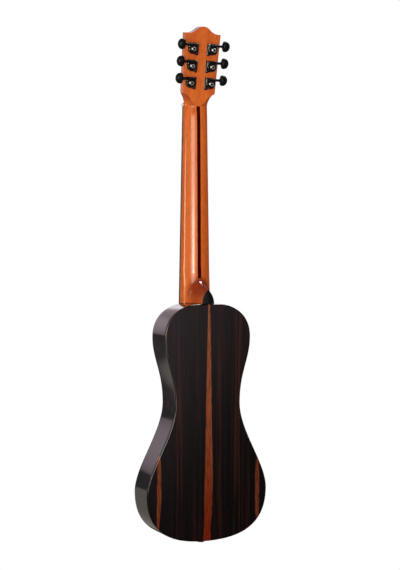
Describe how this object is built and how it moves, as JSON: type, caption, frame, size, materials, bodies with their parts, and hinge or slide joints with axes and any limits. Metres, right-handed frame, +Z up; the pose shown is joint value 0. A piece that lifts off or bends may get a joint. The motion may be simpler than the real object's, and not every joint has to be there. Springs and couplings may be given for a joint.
{
  "type": "acoustic-electric guitar",
  "caption": "Small-bodied acoustic-electric guitar: waisted dark striped-wood body, mahogany neck, crown-shaped head, geared tuners, side preamp, end-pin jack.",
  "frame": {"origin": "on the soundboard plane, inside the neck where it widens into the head, where a hanger yoke holds the instrument", "axes": "+Z up the neck from the tail to the head, -Y out of the soundboard, +X to the treble side"},
  "size_m": [0.2192, 0.0684, 0.8662],
  "materials": {
    "mahogany": "gloss",
    "striped_ebony": "gloss",
    "dark_wood": "satin",
    "spruce": "satin",
    "inner_wood": "bare",
    "black_plastic": "satin",
    "bone": "polished",
    "black_metal": "gloss black",
    "steel": "bright",
    "bronze": "wound bronze",
    "battery_skin": "dark"
  },
  "bodies": {
    "guitar": {"neck": "mahogany", "rib_treble": "striped_ebony", "rib_bass": "striped_ebony", "back_plate": "striped_ebony", "fretboard": "dark_wood", "neck_strip": "dark_wood", "headplate": "dark_wood", "bridge": "dark_wood", "binding_top": "dark_wood", "binding_back": "dark_wood", "soundboard": "spruce", "lining_top": "inner_wood", "lining_back": "inner_wood", "neck_block": "inner_wood", "tail_block": "inner_wood", "x_brace_treble": "inner_wood", "x_brace_bass": "inner_wood", "bridge_plate": "inner_wood", "back_brace_upper": "inner_wood", "back_brace_lower": "inner_wood", "heel_cap": "black_plastic", "truss_rod_cover": "black_plastic", "preamp_case": "black_plastic", "pickup_lead": "black_plastic", "output_lead": "black_plastic", "nut": "bone", "saddle": "bone", "pickup_strip": "steel", "end_jack": "black_metal", "tuner_housing_1": "black_metal", "string_1": "steel", "tuner_housing_2": "black_metal", "string_2": "steel", "tuner_housing_3": "black_metal", "string_3": "bronze", "tuner_housing_4": "black_metal", "string_4": "bronze", "tuner_housing_5": "black_metal", "string_5": "bronze", "tuner_housing_6": "black_metal", "string_6": "bronze"},
    "button_1": {"tuner_button_1": "black_plastic"},
    "post_1": {"tuner_post_1": "steel"},
    "button_2": {"tuner_button_2": "black_plastic"},
    "post_2": {"tuner_post_2": "steel"},
    "button_3": {"tuner_button_3": "black_plastic"},
    "post_3": {"tuner_post_3": "steel"},
    "button_4": {"tuner_button_4": "black_plastic"},
    "post_4": {"tuner_post_4": "steel"},
    "button_5": {"tuner_button_5": "black_plastic"},
    "post_5": {"tuner_post_5": "steel"},
    "button_6": {"tuner_button_6": "black_plastic"},
    "post_6": {"tuner_post_6": "steel"},
    "volume_knob_body": {"volume_knob": "black_plastic"},
    "bass_knob_body": {"bass_knob": "black_plastic"},
    "treble_knob_body": {"treble_knob": "black_plastic"},
    "tuner_key_body": {"tuner_key": "black_plastic"},
    "drawer": {"battery_drawer": "black_plastic", "battery": "battery_skin"},
    "truss": {"truss_rod": "steel"}
  },
  "joints": [
    {"name": "button_1_turn", "type": "hinge", "parent": "guitar", "child": "button_1", "pos_m": [0.0412, 0.02536, 0.0304], "axis": [1, 0, 0], "continuous": true},
    {"name": "post_1_turn", "type": "hinge", "parent": "guitar", "child": "post_1", "pos_m": [0.0184, 0.00601, 0.0264], "axis": [0, -0.9857, 0.1685], "continuous": true},
    {"name": "button_2_turn", "type": "hinge", "parent": "guitar", "child": "button_2", "pos_m": [0.0412, 0.0301, 0.05815], "axis": [1, 0, 0], "continuous": true},
    {"name": "post_2_turn", "type": "hinge", "parent": "guitar", "child": "post_2", "pos_m": [0.0184, 0.01076, 0.05415], "axis": [0, -0.9857, 0.1685], "continuous": true},
    {"name": "button_3_turn", "type": "hinge", "parent": "guitar", "child": "button_3", "pos_m": [0.0412, 0.03485, 0.0859], "axis": [1, 0, 0], "continuous": true},
    {"name": "post_3_turn", "type": "hinge", "parent": "guitar", "child": "post_3", "pos_m": [0.0184, 0.0155, 0.0819], "axis": [0, -0.9857, 0.1685], "continuous": true},
    {"name": "button_4_turn", "type": "hinge", "parent": "guitar", "child": "button_4", "pos_m": [-0.0412, 0.02536, 0.0304], "axis": [-1, 0, 0], "continuous": true},
    {"name": "post_4_turn", "type": "hinge", "parent": "guitar", "child": "post_4", "pos_m": [-0.0184, 0.00601, 0.0264], "axis": [0, -0.9857, 0.1685], "continuous": true},
    {"name": "button_5_turn", "type": "hinge", "parent": "guitar", "child": "button_5", "pos_m": [-0.0412, 0.0301, 0.05815], "axis": [-1, 0, 0], "continuous": true},
    {"name": "post_5_turn", "type": "hinge", "parent": "guitar", "child": "post_5", "pos_m": [-0.0184, 0.01076, 0.05415], "axis": [0, -0.9857, 0.1685], "continuous": true},
    {"name": "button_6_turn", "type": "hinge", "parent": "guitar", "child": "button_6", "pos_m": [-0.0412, 0.03485, 0.0859], "axis": [-1, 0, 0], "continuous": true},
    {"name": "post_6_turn", "type": "hinge", "parent": "guitar", "child": "post_6", "pos_m": [-0.0184, 0.0155, 0.0819], "axis": [0, -0.9857, 0.1685], "continuous": true},
    {"name": "volume_knob_turn", "type": "hinge", "parent": "guitar", "child": "volume_knob_body", "pos_m": [-0.07727, 0.02005, -0.38923], "axis": [-0.9866, 0, 0.1633], "range_deg": [-145, 145]},
    {"name": "bass_knob_turn", "type": "hinge", "parent": "guitar", "child": "bass_knob_body", "pos_m": [-0.0781, 0.02005, -0.40073], "axis": [-1, 0, -0.0082], "range_deg": [-145, 145]},
    {"name": "treble_knob_turn", "type": "hinge", "parent": "guitar", "child": "treble_knob_body", "pos_m": [-0.07744, 0.02005, -0.41223], "axis": [-0.9944, 0, -0.1055], "range_deg": [-145, 145]},
    {"name": "tuner_key_press", "type": "slide", "parent": "guitar", "child": "tuner_key_body", "axis": [1, 0, 0.0082], "range_m": [0, 0.001], "stiffness_N_per_m": 500, "springref_m": -0.001},
    {"name": "battery_drawer_slide", "type": "slide", "parent": "guitar", "child": "drawer", "axis": [-0.9653, 0, -0.261], "range_m": [0, 0.046]},
    {"name": "truss_rod_adjust", "type": "hinge", "parent": "guitar", "child": "truss", "pos_m": [0, 0.0055, -0.0054], "axis": [0, 0, 1], "range_deg": [-180, 180]}
  ],
  "couplings": [
    {"joint": "post_1_turn", "follows": "button_1_turn", "ratio": 0.055556},
    {"joint": "post_2_turn", "follows": "button_2_turn", "ratio": 0.055556},
    {"joint": "post_3_turn", "follows": "button_3_turn", "ratio": 0.055556},
    {"joint": "post_4_turn", "follows": "button_4_turn", "ratio": 0.055556},
    {"joint": "post_5_turn", "follows": "button_5_turn", "ratio": 0.055556},
    {"joint": "post_6_turn", "follows": "button_6_turn", "ratio": 0.055556}
  ]
}
